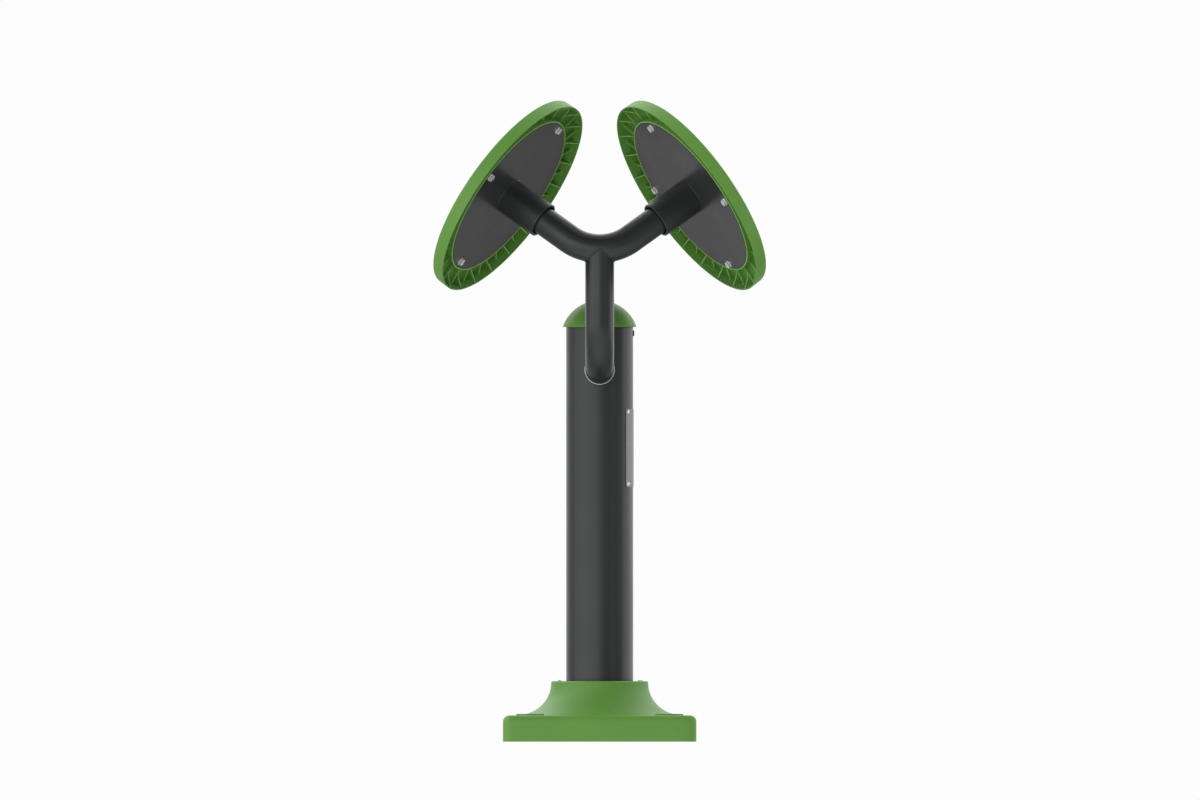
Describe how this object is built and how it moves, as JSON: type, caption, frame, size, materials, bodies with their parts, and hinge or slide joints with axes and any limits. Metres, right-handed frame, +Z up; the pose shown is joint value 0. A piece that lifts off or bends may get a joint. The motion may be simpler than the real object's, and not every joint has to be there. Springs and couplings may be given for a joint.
{
  "type": "outdoor fitness station",
  "caption": "Ground-anchored post with a hooked arm and V yoke that carries free-turning hand discs for arm and shoulder mobility exercise.",
  "frame": {"origin": "on the post's axis at ground level, in the middle of the anchor holes", "axes": "+Z up along the post, +Y to the user's side, which the faces of the discs point to, +X along the line between the discs"},
  "size_m": [0.6928, 0.5385, 1.3352],
  "materials": {
    "anthracite_coat": "satin powder coat with a fine orange peel",
    "grey_plate_coat": "satin powder coat",
    "green_plastic": "moulded, fine grain",
    "galvanised_steel": "hot-dip galvanised",
    "bare_plate": "brushed",
    "bright_rivets": "bright",
    "zinc_screws": "zinc plated",
    "dark_screws": "black oxide",
    "turned_steel": "turned",
    "bearing_steel": "ground",
    "cage_plastic": "moulded",
    "black_rubber": "matt",
    "brass_inserts": "knurled"
  },
  "bodies": {
    "station_frame": {"base_flange": "galvanised_steel", "flange_gussets": "galvanised_steel", "main_post": "anthracite_coat", "post_cap": "green_plastic", "cap_screw": "dark_screws", "foot_cover_front": "green_plastic", "foot_cover_rear": "green_plastic", "cover_joint_straps": "galvanised_steel", "foot_cover_screws": "zinc_screws", "anchor_plugs": "green_plastic", "info_plate": "bare_plate", "plate_rivets": "bright_rivets", "arm_tube": "anthracite_coat", "yoke_tube": "anthracite_coat", "left_axle": "turned_steel", "left_bearing_inner_rings": "bearing_steel", "left_bearing_spacer": "turned_steel", "left_axle_washer": "zinc_screws", "left_axle_nut": "zinc_screws", "right_axle": "turned_steel", "right_bearing_inner_rings": "bearing_steel", "right_bearing_spacer": "turned_steel", "right_axle_washer": "zinc_screws", "right_axle_nut": "zinc_screws"},
    "left_turning_disc": {"left_hub_sleeve": "anthracite_coat", "left_bearing_outer_rings": "bearing_steel", "left_bearing_seals": "black_rubber", "left_dust_seal": "black_rubber", "left_disc_plate": "grey_plate_coat", "left_disc_bolts": "zinc_screws", "left_disc_washers": "zinc_screws", "left_disc_inserts": "brass_inserts", "left_disc": "green_plastic"},
    "left_ball_set": {"left_bearing_balls": "bearing_steel", "left_ball_cages": "cage_plastic"},
    "right_turning_disc": {"right_hub_sleeve": "anthracite_coat", "right_bearing_outer_rings": "bearing_steel", "right_bearing_seals": "black_rubber", "right_dust_seal": "black_rubber", "right_disc_plate": "grey_plate_coat", "right_disc_bolts": "zinc_screws", "right_disc_washers": "zinc_screws", "right_disc_inserts": "brass_inserts", "right_disc": "green_plastic"},
    "right_ball_set": {"right_bearing_balls": "bearing_steel", "right_ball_cages": "cage_plastic"}
  },
  "joints": [
    {"name": "left_disc_spin", "type": "hinge", "parent": "station_frame", "child": "left_turning_disc", "pos_m": [-0.18908, -0.11653, 1.13667], "axis": [-0.7705, 0.3187, 0.552], "continuous": true},
    {"name": "left_ball_roll", "type": "hinge", "parent": "station_frame", "child": "left_ball_set", "pos_m": [-0.18908, -0.11653, 1.13667], "axis": [-0.7705, 0.3187, 0.552], "continuous": true},
    {"name": "right_disc_spin", "type": "hinge", "parent": "station_frame", "child": "right_turning_disc", "pos_m": [0.18908, -0.11653, 1.13667], "axis": [0.7705, 0.3187, 0.552], "continuous": true},
    {"name": "right_ball_roll", "type": "hinge", "parent": "station_frame", "child": "right_ball_set", "pos_m": [0.18908, -0.11653, 1.13667], "axis": [0.7705, 0.3187, 0.552], "continuous": true}
  ],
  "couplings": [
    {"joint": "left_ball_roll", "follows": "left_disc_spin", "ratio": 0.60353},
    {"joint": "right_ball_roll", "follows": "right_disc_spin", "ratio": 0.60353}
  ]
}
